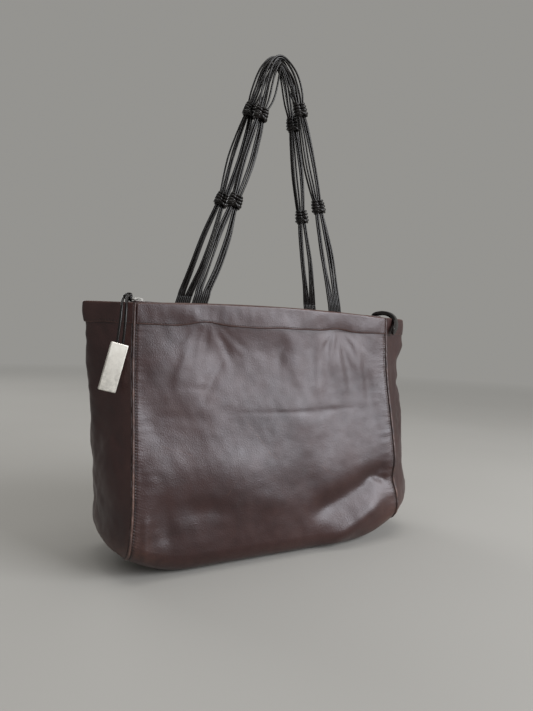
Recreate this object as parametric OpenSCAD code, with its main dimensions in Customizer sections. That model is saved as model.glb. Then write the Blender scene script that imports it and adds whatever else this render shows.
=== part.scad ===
// Leather tote bag with knotted cord handles, a zip across the mouth and a metal pull tag.
// It stands on its base: X runs along its width, Y through its depth, Z up.
// The origin is on the floor, under the middle of the bag.

/* [Body] */
// Height of the mouth's edge above the floor
body_h = 270; // [240:1:300]
// Half of the front panel's width at the mouth
half_w_top = 157; // [140:1:170]
// Half of the front panel's width at the base
half_w_base = 163; // [145:1:175]
// Half of the depth at the mouth
half_d_top = 28; // [27:1:34]
// Half of the depth at the base
half_d_base = 60; // [50:1:70]
// Radius of the turn from the panels into the base
base_r = 22; // [15:1:28]
// Height that the base's corners are lifted off the floor
corner_lift = 20; // [0:1:28]
// Half of the width of the part of the base that lies flat
flat_half_w = 100; // [60:5:120]
// How far the middle of the mouth's long edges bows up
mouth_bow = 5; // [0:0.5:6]
// How far a gusset's fold stands out at the mouth
ear_top = 46; // [35:1:55]
// How far the left gusset bulges near the base
left_bulge = 22; // [12:1:46]
// How far the right gusset bulges near the base
right_bulge = 42; // [12:1:46]

/* [Leather] */
// Thickness of the leather
leather_t = 1.8; // [1.4:0.1:2.2]
// Height of the turned band round the mouth
band_h = 22; // [16:1:28]
// How far the band stands proud of the panel
band_proud = 1.2; // [0.8:0.1:1.6]
// Width of the raised edge at each side seam
seam_w = 3; // [2:0.1:4]
// Thickness of the lining
lining_t = 0.6; // [0.4:0.1:0.8]

/* [Zip] */
// Half of the length over which the zip opens
wing_half_l = 138; // [120:1:142]
// Half of the width of the mouth between the wings' folds
wing_y = 20.4; // [18:0.1:20.6]
// Half of the slit between the rows of teeth
slit = 0.7; // [0.6:0.1:0.9]
// Distance from tooth to tooth
tooth_pitch = 3; // [2:0.5:4]
// Length of the slider
slider_l = 12; // [9:0.5:13]
// Width of the slider
slider_w = 9.2; // [8:0.1:10]

/* [Handles] */
// Diameter of one sub-bundle of cords
bundle_d = 4.8; // [4:0.1:5]
// Thickness of one cord
cord_d = 2.2; // [1.8:0.1:2.3]
// Height at which the handles fold
fold_z = 283; // [282:1:286]
// Diameter of a knot
knot_d = 13.5; // [12:0.5:16]
// Height of a knot
knot_h = 13; // [9:0.5:13.5]

/* [Tag] */
// Width of the metal tag
tag_w = 17; // [14:0.5:20]
// Length of the metal tag
tag_l = 47; // [40:1:55]
// Thickness of the metal tag
tag_t = 3; // [2:0.1:3.2]
// Width of the slot in the tag's top edge
slot_w = 8; // [6:0.5:10]
// Thickness of the slot
slot_t = 1.6; // [1:0.1:1.8]
// Depth of the slot
slot_h = 8; // [5:0.5:12]
// Tilt of the hanging tag
tag_tilt = 14; // [0:1:20]

/* [Hidden] */
$fn = 32;

gap = 0.3;
panel_top = body_h - 1.4;
inner_leaf_t = 1;
cord_inset = leather_t + inner_leaf_t + 0.2;
lining_inset = cord_inset + cord_d + 0.2;
centre_seam = 0.1;
gusset_x0 = seam_w + 0.2;

leather_c = [0.23, 0.17, 0.165];
edge_c = [0.36, 0.25, 0.2];
cord_c = [0.1, 0.085, 0.08];
lining_c = [0.13, 0.12, 0.12];
metal_c = [0.72, 0.71, 0.69];
tape_c = [0.07, 0.065, 0.065];

// Heights at which the side of the bag is drawn, from the mouth down
wall_z = [panel_top, body_h - band_h, 225, 197, 165, 133, 100, 70, 44, base_r];
arc_a = [22.5, 45, 67.5, 90];
wall_n = len(wall_z);
row_n = wall_n + len(arc_a) + 1;
// Stations across a panel, as shares of its half width
across = [-1, -0.93, -0.84, -0.73, -0.625, -0.3, 0, 0.3, 0.625, 0.73, 0.84, 0.93, 1];
// Stations round a gusset from its front edge to its rear edge
round_s = [-1, -0.85, -0.65, -0.4, -0.15, 0, 0.15, 0.4, 0.65, 0.85, 1];

function half_depth(z) =
    let (t = min(1, max(0, (body_h - z) / body_h)))
    half_d_top + (half_d_base - half_d_top) * (1 - cos(180 * t)) / 2;
function half_width(z) = half_w_base + (half_w_top - half_w_base) * z / body_h;
function lift(x) = corner_lift * pow(max(0, abs(x) - flat_half_w) / (half_w_base - flat_half_w), 2);
function raised(x, z) = z + lift(x) * max(0, 1 - z / body_h);
function bow(u, z) = mouth_bow * (1 - u * u) * pow(max(0, z - 200) / (body_h - 200), 2);

// The side's outline, as depth, height, and the outward normal's two parts
arc_y = half_depth(base_r) - base_r;
wall_slope = [for (z = wall_z) (half_depth(z - 1) - half_depth(z + 1)) / 2];
outline = concat(
    [for (i = [0:wall_n - 1])
        let (m = i == 0 || i == wall_n - 1 ? 0 : wall_slope[i], l = sqrt(1 + m * m))
        [half_depth(wall_z[i]), wall_z[i], 1 / l, m / l]],
    [for (a = arc_a) [arc_y + base_r * cos(a), base_r - base_r * sin(a), cos(a), -sin(a)]],
    [[centre_seam, 0, 0, -1]]
);
// Depth and height of a row of the outline, moved in by d
function side_y(j, d) = outline[j][0] - d * outline[j][2];
function side_z(j, d) = outline[j][1] - d * outline[j][3];

// A point of the front panel's surface, moved in by d
function panel_point(u, j, d) =
    let (x = u * half_width(outline[j][1]))
    [x, -side_y(j, d), raised(x, side_z(j, d)) + bow(u, outline[j][1])];

// How far a gusset stands out at a row, and the sharpness of its fold
function ear(j, bulge) =
    let (z = outline[j][1], low = min(1, z / 34))
    (bulge + (ear_top - bulge) * z / body_h) * sqrt(max(0, 1 - pow(1 - low, 2)));
function fold_power(j) = 2.3 - 1.05 * outline[j][1] / body_h;
function ear_thin(j, bulge) = sqrt(1 + pow(ear(j, bulge) / outline[j][0], 2));

// A point of the surface of a gusset at the right end, moved in by d
function gusset_point(s, j, d, bulge) =
    let (
        x0 = half_width(outline[j][1]) + gusset_x0,
        out = max(0, ear(j, bulge) - d * ear_thin(j, bulge)) * (1 - pow(abs(s), fold_power(j)))
    )
    [x0 + out, s * side_y(j, d), raised(x0, side_z(j, d))];

// A closed solid between an outer and an inner grid of points
module skin(outer, inner) {
    n = len(outer);
    m = len(outer[0]);
    k = n * m;
    points = concat([for (r = outer) each r], [for (r = inner) each r]);
    faces = concat(
        [for (i = [0:n - 2], j = [0:m - 2]) each [
            [i * m + j, i * m + j + 1, (i + 1) * m + j + 1],
            [i * m + j, (i + 1) * m + j + 1, (i + 1) * m + j],
            [k + i * m + j, k + (i + 1) * m + j + 1, k + i * m + j + 1],
            [k + i * m + j, k + (i + 1) * m + j, k + (i + 1) * m + j + 1]]],
        [for (j = [0:m - 2]) each [
            [j, k + j, k + j + 1], [j, k + j + 1, j + 1],
            [(n - 1) * m + j, k + (n - 1) * m + j + 1, k + (n - 1) * m + j],
            [(n - 1) * m + j, (n - 1) * m + j + 1, k + (n - 1) * m + j + 1]]],
        [for (i = [0:n - 2]) each [
            [i * m, (i + 1) * m, k + (i + 1) * m], [i * m, k + (i + 1) * m, k + i * m],
            [i * m + m - 1, k + (i + 1) * m + m - 1, (i + 1) * m + m - 1],
            [i * m + m - 1, k + i * m + m - 1, k + (i + 1) * m + m - 1]]]
    );
    polyhedron(points, faces, convexity = 8);
}

// A closed solid swept through a list of rings of points. A ring that isn't convex
// states the convex parts that close its ends.
module sweep(rings, parts = undef) {
    n = len(rings);
    m = len(rings[0]);
    points = [for (r = rings) each r];
    ends = is_undef(parts) ? [[for (j = [0:m - 1]) j]] : parts;
    polyhedron(points, concat(
        [for (e = ends) [for (j = [len(e) - 1:-1:0]) e[j]]],
        [for (e = ends) [for (j = e) (n - 1) * m + j]],
        [for (i = [0:n - 2], j = [0:m - 1])
            let (a = i * m + j, b = i * m + (j + 1) % m)
            each [[a, b, b + m], [a, b + m, a + m]]]
    ), convexity = 8);
}

module to_rear() { mirror([0, 1, 0]) children(); }
module to_left() { mirror([1, 0, 0]) children(); }

// One panel wraps from the mouth down and under to the seam along the base's middle
module panel_shape(d0, d1) {
    skin(
        [for (u = across) [for (j = [0:row_n - 1]) panel_point(u, j, d0)]],
        [for (u = across) [for (j = [0:row_n - 1]) panel_point(u, j, d1)]]
    );
}
module front_panel() { color(leather_c) panel_shape(0, leather_t); }
module rear_panel() { color(leather_c) to_rear() panel_shape(0, leather_t); }

module gusset_shape(d0, d1, bulge) {
    skin(
        [for (s = round_s) [for (j = [0:row_n - 2]) gusset_point(s, j, d0, bulge)]],
        [for (s = round_s) [for (j = [0:row_n - 2]) gusset_point(s, j, d1, bulge)]]
    );
}
module right_gusset() { color(leather_c) gusset_shape(0, leather_t, right_bulge); }
module left_gusset() { color(leather_c) to_left() gusset_shape(0, leather_t, left_bulge); }

// The band's section is an upside-down U that holds the panel's top edge:
// each entry is a row of the outline, an inset, and whether it is on the cap
in_d = leather_t + inner_leaf_t;
band_section = [
    [1, -band_proud, false], [0, -band_proud, true], [0, in_d, true], [1, in_d, false],
    [1, leather_t + gap, false], [0, leather_t + gap, false], [0, -0.02, false], [1, -0.02, false]
];
band_ends = [[0, 1, 6, 7], [1, 2, 5, 6], [2, 3, 4, 5]];
cap_rise = body_h - panel_top;
function capped(p, e) = p + [0, 0, e[2] ? cap_rise : e[0] == 0 ? 0.05 : 0];
module panel_band() {
    sweep([for (u = across) [for (e = band_section) capped(panel_point(u, e[0], e[1]), e)]], band_ends);
}
module gusset_band(bulge) {
    sweep(
        [for (s = round_s) [for (e = band_section) capped(gusset_point(s, e[0], e[1], bulge), e)]],
        band_ends
    );
}
module front_band() { color(leather_c) panel_band(); }
module rear_band() { color(leather_c) to_rear() panel_band(); }
module right_gusset_band() { color(leather_c) gusset_band(right_bulge); }
module left_gusset_band() { color(leather_c) to_left() gusset_band(left_bulge); }

// The raised edge where a panel and a gusset are sewn together
module seam_shape() {
    sweep([for (j = [0:row_n - 1])
        let (x = half_width(outline[j][1]), top = j == 0 ? body_h - panel_top : 0)
        [for (e = [[seam_w, -band_proud], [0.1, -band_proud], [0.1, leather_t], [seam_w, leather_t]])
            [x + e[0], -side_y(j, e[1]), raised(x, side_z(j, e[1])) + top]]]);
}
module front_right_seam() { color(edge_c) seam_shape(); }
module front_left_seam() { color(edge_c) to_left() seam_shape(); }
module rear_right_seam() { color(edge_c) to_rear() seam_shape(); }
module rear_left_seam() { color(edge_c) to_rear() to_left() seam_shape(); }

module front_lining() { color(lining_c) panel_shape(lining_inset, lining_inset + lining_t); }
module rear_lining() { color(lining_c) to_rear() front_lining(); }
module end_lining(bulge) { gusset_shape(lining_inset, lining_inset + lining_t, bulge); }
module right_lining() { color(lining_c) end_lining(right_bulge); }
module left_lining() { color(lining_c) to_left() end_lining(left_bulge); }

// Handles. Each route is x, y, z, then half the distance between the two sub-bundles,
// and their half width and half thickness there.
exit_y = half_d_top - cord_inset - cord_d / 2;
r = bundle_d / 2;
front_route = [
    [-86, -exit_y, fold_z, 4.4, 4, 1.1], [-84, -23, 290, 4.6, 3, 1.8], [-74, -21, 314, 5.6, r, r],
    [-62, -18.5, 348, 5.6, r, r], [-53, -16, 374, 3.2, r, r], [-49, -15.5, 386, 2.6, r, r],
    [-45, -14.5, 398, 3.2, r, r], [-34, -12, 432, 5.2, r, r], [-24, -10, 466, 4.2, r, r],
    [-18, -8.8, 488, 2.6, r, r], [-12, -7.6, 508, 4, r, r], [-4, -5.6, 540, 4, r, r],
    [6, -5, 555, 3.4, r, r],
    [19, -5.6, 544, 4, r, r], [28, -7.2, 522, 4, r, r], [33, -8.4, 503, 2.6, r, r],
    [39, -10, 480, 4, r, r], [47, -12.4, 444, 5.2, r, r], [55, -14.6, 412, 3.8, r, r],
    [59, -15.6, 395, 2.6, r, r], [63, -16.6, 376, 4, r, r], [71, -19, 340, 5.6, r, r],
    [78, -21.4, 306, 5.2, 3, 1.8], [82, -exit_y, fold_z, 4.4, 4, 1.1]
];
rear_route = [
    [-88, exit_y, fold_z, 4.4, 4, 1.1], [-86, 23, 290, 4.6, 3, 1.8], [-76, 21, 316, 5.6, r, r],
    [-65, 18.5, 350, 5.6, r, r], [-55, 16, 381, 3.2, r, r], [-51, 15.4, 393, 2.6, r, r],
    [-47, 14.4, 405, 3.2, r, r], [-38, 12, 440, 5.2, r, r], [-29, 9.8, 474, 4.2, r, r],
    [-23, 8.6, 496, 2.6, r, r], [-16, 7.4, 516, 4, r, r], [-6, 5.6, 544, 4, r, r],
    [6, 5, 557, 3.4, r, r],
    [20, 5.6, 543, 4, r, r], [29, 7.4, 514, 4, r, r], [34, 8.6, 492, 2.6, r, r],
    [39, 10.2, 470, 4, r, r], [46, 12.6, 436, 5.2, r, r], [53, 15, 402, 3.6, r, r],
    [56, 15.8, 388, 2.6, r, r], [60, 17, 368, 4, r, r], [68, 19.4, 334, 5.6, r, r],
    [74, 21.6, 304, 5.2, 3, 1.8], [78, exit_y, fold_z, 4.4, 4, 1.1]
];
// Places in a route where its knots are tied
knot_at = [5, 9, 15, 19];

function unit(v) = v / norm(v);
function xyz(e) = [e[0], e[1], e[2]];
function along(route, i) =
    i == 0 || i == len(route) - 1
        ? [0, 0, i == 0 ? 1 : -1]
        : unit(xyz(route[i + 1]) - xyz(route[i - 1]));
function sideways(route, i) = unit(cross([0, 1, 0], along(route, i)));

// One sub-bundle runs on one side (1 or -1) of the route from end to end.
// Both of its ends are rounded about the line on which the handle folds.
function ring_at(route, side, i, turn) =
    let (
        e = route[i], w = sideways(route, i), n = unit(cross(along(route, i), w)),
        c = xyz(e) + side * e[3] * w - [0, 0, e[5] * sin(turn)]
    )
    [for (a = [0:45:315]) c + w * e[4] * cos(a) + n * e[5] * cos(turn) * sin(a)];
module bundle(route, side) {
    last = len(route) - 1;
    sweep(concat(
        [for (turn = [80, 40]) ring_at(route, side, 0, turn)],
        [for (i = [0:last]) ring_at(route, side, i, 0)],
        [for (turn = [40, 80]) ring_at(route, side, last, turn)]
    ));
}
module knots(route) {
    for (k = knot_at) {
        d = along(route, k);
        translate(xyz(route[k]))
            rotate([0, acos(d[2]), atan2(d[1], d[0])])
                rotate_extrude() intersection() {
                    translate([0, -knot_h / 2]) square([knot_d / 2, knot_h]);
                    circle(r = knot_d / 2);
                }
    }
}
module front_handle_cords() { color(cord_c) { bundle(front_route, 1); bundle(front_route, -1); } }
module rear_handle_cords() { color(cord_c) { bundle(rear_route, 1); bundle(rear_route, -1); } }
module front_handle_knots() { color(cord_c) knots(front_route); }
module rear_handle_knots() { color(cord_c) knots(rear_route); }

// The sewn-in ends of the handles, side by side between the band and the lining
end_top = fold_z - 3.4;
end_rings = [for (z = [226, 237, 248, 259, body_h, end_top - 1]) [z, cord_d / 2]];
module handle_ends(route) {
    for (e = [route[0], route[len(route) - 1]], k = [-3.5:3.5])
        sweep([for (ring = concat(end_rings, [[end_top, cord_d / 4]]))
            [for (a = [0:36:324]) [
                e[0] + k * (cord_d + 0.02) + ring[1] * cos(a),
                -exit_y + half_d_top - half_depth(ring[0]) + ring[1] * sin(a), ring[0]]]]);
}
module front_handle_ends() { color(cord_c) handle_ends(front_route); }
module rear_handle_ends() { color(cord_c) to_rear() handle_ends(rear_route); }

// Zip, from the wing's fold in towards the middle of the mouth
wing_z = body_h + 0.6;
wing_t = 1.6;
wing_in = 6;
tape_z = body_h - 0.3;
tape_t = 0.7;
tape_out = 12;
tooth_out = 3.3;
tooth_z = body_h - 1.1;
tooth_h = 2.4;
module bar(x0, x1, y0, y1, z0, z1) { translate([x0, y0, z0]) cube([x1 - x0, y1 - y0, z1 - z0]); }
module zip_wing() {
    color(leather_c) bar(-wing_half_l, wing_half_l, -wing_y, -wing_in, wing_z, wing_z + wing_t);
}
module zip_tape() {
    color(tape_c) bar(-wing_half_l, wing_half_l, -tape_out, -tooth_out - 0.1, tape_z, tape_z + tape_t);
}
module zip_teeth() {
    n = floor(2 * wing_half_l / tooth_pitch);
    color(metal_c) translate([-wing_half_l, 0, tooth_z]) linear_extrude(tooth_h) polygon(concat(
        [[0, -tooth_out], [0, -tooth_out + 1]],
        [for (i = [0:n - 1], e = [[0.25, 1], [0.25, 0], [0.75, 0], [0.75, 1]])
            [(i + e[0]) * tooth_pitch, e[1] == 0 ? -slit : -tooth_out + 1]],
        [[n * tooth_pitch, -tooth_out + 1], [n * tooth_pitch, -tooth_out]]
    ));
}
module front_zip_wing() { zip_wing(); }
module front_zip_tape() { zip_tape(); }
module front_zip_teeth() { zip_teeth(); }
module rear_zip_wing() { to_rear() zip_wing(); }
module rear_zip_tape() { to_rear() zip_tape(); }
module rear_zip_teeth() { to_rear() zip_teeth(); }

// The zip's fixed ends: a leather strip on each side of a tape, slit for the slider
end_x0 = wing_half_l + 0.4;
end_x1 = half_w_top - 0.4;
module zip_end() {
    for (s = [0, 1]) mirror([0, s, 0]) {
        color(leather_c) bar(end_x0, end_x1, -wing_y, -wing_in, wing_z, wing_z + wing_t);
        color(tape_c) bar(end_x0, end_x1, -tape_out, -slit, tape_z, tape_z + tape_t);
    }
    color(tape_c) bar(end_x1 - 1.5, end_x1, -slit, slit, tape_z, tape_z + tape_t);
}
module zip_right_end() { zip_end(); }
module zip_left_end() { to_left() zip_end(); }

// A small metal stop is pressed over the tape at each end
stop_l = 2.4;
module zip_stops() {
    color(metal_c) for (s = [0, 1]) mirror([s, 0, 0])
        bar(end_x1 - stop_l - 0.4, end_x1 - 0.4, -3.2, 3.2, tape_z + tape_t + 0.02, tape_z + tape_t + 1.2);
}

// Slider: two plates, the post between them and the bridge that holds the ring
slider_x = -146;
plate_t = 1.6;
top_plate_z = tooth_z + tooth_h + 0.4;
low_plate_z = tooth_z - 0.4 - plate_t;
module plate(z) {
    translate([slider_x, 0, z]) linear_extrude(plate_t) intersection() {
        square([slider_l, slider_w], center = true);
        translate([slider_l * 0.1, 0]) circle(r = slider_l * 0.6);
    }
}
bridge_z = top_plate_z + plate_t;
bridge_h = 3.2;
module slider_body() {
    color(metal_c) union() {
        plate(top_plate_z);
        plate(low_plate_z);
        bar(slider_x + 1, slider_x + 4.5, -0.45, 0.45, low_plate_z + 0.5, top_plate_z + 0.5);
        translate([slider_x, 1, bridge_z]) rotate([90, 0, 0]) linear_extrude(2) difference() {
            polygon([[-5, -0.4], [-5, bridge_h - 0.8], [-4, bridge_h], [2.6, bridge_h], [4, -0.4]]);
            translate([-3.2, 0.2]) square([4.6, bridge_h - 1.2]);
        }
    }
}

// Ring of wire through the bridge, lying towards the zip's left end
ring_r = 4.4;
ring_wire = 1.2;
ring_x = slider_x - 6.2;
ring_z = bridge_z + 1.1;
module pull_ring() {
    color(metal_c) translate([ring_x, 0, ring_z]) rotate([0, -4, 0])
        rotate_extrude() translate([ring_r, 0]) circle(d = ring_wire, $fn = 20);
}

// The thong from the ring over the mouth's corner and down to the tag
thong_d = 3;
thong_route = [
    [-157.4, -1.6, 276.8], [-160, -6, 277], [-162.6, -12, 276.6], [-165.2, -19, 275.8],
    [-167.4, -25, 274.4], [-169.4, -31, 271], [-170.8, -35.4, 264], [-171.8, -37.6, 254],
    [-172.9, -38.4, 243], [-174.2, -38.6, 230.2]
];
tag_x = -180;
tag_y = -38.6;
tag_z = 207;
module pull_cord() {
    color(cord_c) sweep([for (i = [0:len(thong_route) - 1])
        let (
            last = len(thong_route) - 1,
            t = unit(thong_route[min(last, i + 1)] - thong_route[max(0, i - 1)]),
            w = unit(cross([1, 0, 0.2], t)), n = cross(t, w)
        )
        [for (a = [0:45:315]) thong_route[i] + thong_d / 2 * (w * cos(a) + n * sin(a))]]);
}
module metal_tag() {
    color(metal_c) translate([tag_x, tag_y, tag_z]) rotate([0, tag_tilt, 0]) difference() {
        rotate([90, 0, 0]) translate([0, 0, -tag_t / 2]) linear_extrude(tag_t) offset(r = 1)
            square([tag_w - 2, tag_l - 2], center = true);
        translate([0, 0, tag_l / 2]) cube([slot_w, slot_t, 2 * slot_h], center = true);
    }
}

// The leather tail at the zip's right end, over the gusset's front half and down outside it
tail_w = 12;
tail_t = 2.2;
tail_route = [
    [158, -2, 273.4], [163, -5, 275.2], [168, -10, 276], [172.4, -16.4, 275.6],
    [175.4, -22, 273], [177, -25.4, 266], [177.8, -27.2, 256], [178.2, -28.4, 246]
];
tail_across = unit([0.84, 0.54, 0]);
module zip_tail() {
    color(leather_c) sweep([for (i = [0:len(tail_route) - 1])
        let (
            last = len(tail_route) - 1,
            t = unit(tail_route[min(last, i + 1)] - tail_route[max(0, i - 1)]),
            n = unit(cross(t, tail_across)), w = unit(cross(n, t))
        )
        [for (e = [[-1, -1], [1, -1], [1, 1], [-1, 1]])
            tail_route[i] + w * e[0] * tail_w / 2 + n * e[1] * tail_t / 2]]);
}

front_panel();
rear_panel();
left_gusset();
right_gusset();
front_band();
rear_band();
left_gusset_band();
right_gusset_band();
front_left_seam();
front_right_seam();
rear_left_seam();
rear_right_seam();
front_lining();
rear_lining();
left_lining();
right_lining();
front_handle_ends();
rear_handle_ends();
front_handle_cords();
front_handle_knots();
rear_handle_cords();
rear_handle_knots();
front_zip_wing();
front_zip_tape();
front_zip_teeth();
rear_zip_wing();
rear_zip_tape();
rear_zip_teeth();
zip_left_end();
zip_right_end();
zip_stops();
slider_body();
pull_ring();
pull_cord();
metal_tag();
zip_tail();
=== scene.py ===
"""Looks for the leather tote bag: the soft shell, its seams, the handles' cords and knots, the zip,
the thong and the tag. Shapes are worked out in millimetres and turned to metres when made."""

import math

import bpy
import numpy as np
from mathutils import Matrix, Vector


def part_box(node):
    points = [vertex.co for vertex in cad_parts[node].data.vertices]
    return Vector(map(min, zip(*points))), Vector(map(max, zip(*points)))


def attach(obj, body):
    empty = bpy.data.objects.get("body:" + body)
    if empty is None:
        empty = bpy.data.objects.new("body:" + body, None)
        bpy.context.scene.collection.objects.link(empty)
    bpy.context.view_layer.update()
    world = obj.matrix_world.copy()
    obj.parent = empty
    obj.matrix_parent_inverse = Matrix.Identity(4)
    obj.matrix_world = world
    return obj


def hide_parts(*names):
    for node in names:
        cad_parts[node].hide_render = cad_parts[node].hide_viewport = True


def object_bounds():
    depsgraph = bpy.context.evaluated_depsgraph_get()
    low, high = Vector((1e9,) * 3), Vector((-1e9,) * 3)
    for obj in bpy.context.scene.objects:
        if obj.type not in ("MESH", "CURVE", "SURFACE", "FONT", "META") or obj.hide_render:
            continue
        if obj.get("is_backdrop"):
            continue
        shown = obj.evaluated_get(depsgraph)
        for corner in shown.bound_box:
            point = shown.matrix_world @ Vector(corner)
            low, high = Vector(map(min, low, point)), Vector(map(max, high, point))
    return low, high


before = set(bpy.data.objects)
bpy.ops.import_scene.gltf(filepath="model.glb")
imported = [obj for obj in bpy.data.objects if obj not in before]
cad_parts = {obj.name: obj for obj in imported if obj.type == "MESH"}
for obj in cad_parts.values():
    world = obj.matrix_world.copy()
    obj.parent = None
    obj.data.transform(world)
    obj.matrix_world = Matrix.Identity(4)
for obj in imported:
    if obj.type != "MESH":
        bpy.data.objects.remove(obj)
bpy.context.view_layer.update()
MM = 0.001


def box_mm(node):
    """Lowest and highest corner of a CAD node, in millimetres."""
    low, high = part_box(node)
    return np.array(low) / MM, np.array(high) / MM


def clipped(x):
    """x, kept from 0 to 1."""
    return np.clip(x, 0, 1)


def hill(x, width):
    return np.exp(-((x / width) ** 2))


SIDES = (("front", False), ("rear", True))
ENDS = (("left", -1), ("right", 1))

# ---------------------------------------------------------------- camera
CAMERA_AT = Vector((-0.3073, -0.5749, 0.2462))
YAW, PITCH, ROLL = math.radians(28.61), math.radians(-2.38), math.radians(2.32)
LENS, SENSOR_W = 28.4, 36


def make_camera():
    forward = Vector((math.sin(YAW) * math.cos(PITCH), math.cos(YAW) * math.cos(PITCH), math.sin(PITCH)))
    right = Vector((math.cos(YAW), -math.sin(YAW), 0))
    up = right.cross(forward)
    right, up = (right * math.cos(ROLL) + up * math.sin(ROLL), up * math.cos(ROLL) - right * math.sin(ROLL))
    turn = Matrix((right, up, -forward)).transposed().to_4x4()
    data = bpy.data.cameras.new("camera")
    data.lens = LENS
    data.sensor_width = SENSOR_W
    data.clip_start = 0.01
    camera = bpy.data.objects.new("camera", data)
    camera.matrix_world = Matrix.Translation(CAMERA_AT) @ turn
    bpy.context.scene.collection.objects.link(camera)
    bpy.context.scene.camera = camera


make_camera()

# ---------------------------------------------------------------- the bag's sizes, in mm
panel_low, panel_high = box_mm("front_panel")
seam_high = box_mm("front_right_seam")[1]
BODY_H = seam_high[2]
PANEL_TOP = BODY_H - 1.4
MOUTH_BOW = panel_high[2] - PANEL_TOP
HALF_W_TOP = 157.0
HALF_W_BASE = panel_high[0]
HALF_D_TOP = 28.0
HALF_D_BASE = 60.0
BASE_R = 22.0
CORNER_LIFT = 20.0
FLAT_HALF_W = 100.0
EAR_TOP = 46.0
LEFT_BULGE, RIGHT_BULGE = 22.0, 42.0
BAND_H = 22.0
PROUD = 1.2
SEAM_W = 3.0
LEATHER_T = 1.8
CORD_D = 2.2
LINING_INSET = 5.4
LINING_T = 0.6
FOLD_Z = 283.0
CORD_GAP = 3.0
CORD_PITCH = CORD_D + 0.02
EXIT_Y = HALF_D_TOP - CORD_GAP - CORD_D / 2
STITCH = 3.0
WALL_STEPS, ARC_STEPS = 420, 60


def half_depth(z):
    t = clipped((BODY_H - z) / BODY_H)
    return HALF_D_TOP + (HALF_D_BASE - HALF_D_TOP) * (1 - np.cos(np.pi * t)) / 2


def half_width(z):
    return HALF_W_BASE + (HALF_W_TOP - HALF_W_BASE) * z / BODY_H


def raised(x, z):
    lift = CORNER_LIFT * (np.maximum(0, np.abs(x) - FLAT_HALF_W) / (HALF_W_BASE - FLAT_HALF_W)) ** 2
    return z + lift * np.maximum(0, 1 - z / BODY_H)


def outline_table():
    """The side's outline from above the mouth down and under: length, depth, height, normal."""
    wall = np.linspace(BODY_H + 4, BASE_R, WALL_STEPS)
    turn = np.radians(np.linspace(0, 90, ARC_STEPS))[1:]
    arc_y = half_depth(BASE_R) - BASE_R
    flat = np.linspace(arc_y, 0.1, 30)[1:]
    y = np.concatenate([half_depth(wall), arc_y + BASE_R * np.cos(turn), flat])
    z = np.concatenate([wall, BASE_R - BASE_R * np.sin(turn), flat * 0])
    dy, dz = np.gradient(y), np.gradient(z)
    size = np.hypot(dy, dz)
    v = np.concatenate([[0], np.cumsum(np.hypot(np.diff(y), np.diff(z)))])
    v -= np.interp(-PANEL_TOP, -z[:WALL_STEPS], v[:WALL_STEPS])
    return v, y, z, -dz / size, dy / size


OUT_V, OUT_Y, OUT_Z, OUT_NY, OUT_NZ = outline_table()
V_END = OUT_V[-1]
V_ARC = OUT_V[WALL_STEPS - 1]
V_FLOOR = OUT_V[WALL_STEPS + ARC_STEPS - 2]
V_BAND = float(np.interp(-(BODY_H - BAND_H), -OUT_Z[:WALL_STEPS], OUT_V[:WALL_STEPS]))


def outline(v):
    return [np.interp(v, OUT_V, a) for a in (OUT_Y, OUT_Z, OUT_NY, OUT_NZ)]


def side_point(u, v, d, beyond=0.0, rear=False):
    """A point of a long panel: u from -1 to 1 across, v down from the mouth, moved in by d."""
    y, z, ny, nz = outline(v)
    x = u * half_width(z) + np.sign(u) * beyond
    bow = MOUTH_BOW * (1 - np.minimum(1, u * u)) * (np.maximum(0, z - 200) / (BODY_H - 200)) ** 2
    depth = y - d * ny
    return np.stack([x, depth if rear else -depth, raised(x, z - d * nz) + bow], -1)


def gusset_point(s, v, d, end):
    """A point of a gusset: s from -1 (front) to 1 (rear), v down, moved in by d."""
    y, z, ny, nz = outline(v)
    bulge = RIGHT_BULGE if end > 0 else LEFT_BULGE
    low = np.minimum(1, np.maximum(z, 0) / 34)
    ear = (bulge + (EAR_TOP - bulge) * z / BODY_H) * np.sqrt(np.maximum(0, 1 - (1 - low) ** 2))
    thin = np.sqrt(1 + (ear / y) ** 2)
    soft = 0.05
    share = (np.sqrt(s * s + soft * soft) - soft) / (math.sqrt(1 + soft * soft) - soft)
    out = np.maximum(0, ear - d * thin) * (1 - share ** (2.3 - 1.05 * z / BODY_H))
    x0 = half_width(z) + SEAM_W + 0.2
    return np.stack([end * (x0 + out), s * (y - d * ny), raised(x0, z - d * nz)], -1)


# ---------------------------------------------------------------- soft forms
def waves(points, length, seed, count=24):
    """A smooth random field with a spread of 1 and about that wavelength, in mm."""
    rng = np.random.default_rng(seed)
    way = rng.normal(size=(count, 3))
    way /= np.linalg.norm(way, axis=1)[:, None]
    k = way * (2 * np.pi / (length * rng.uniform(0.75, 1.35, count)))[:, None]
    phase = rng.uniform(0, 2 * np.pi, count)
    return np.cos(points @ k.T + phase).sum(-1) * math.sqrt(2 / count)


def ridge(x, z, a, b, width, height, taper=0.5):
    """A soft ridge, or a valley where height is negative, along the line from a to b."""
    a, b = np.array(a, float), np.array(b, float)
    along = b - a
    length = np.linalg.norm(along)
    along /= length
    px, pz = x - a[0], z - a[1]
    t = (px * along[0] + pz * along[1]) / length
    off = -px * along[1] + pz * along[0]
    soft = 0.12 * taper + 0.03
    ends = 1 / (1 + np.exp(-t / soft)) / (1 + np.exp((t - 1) / soft))
    return height * hill(off, width) * ends


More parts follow.
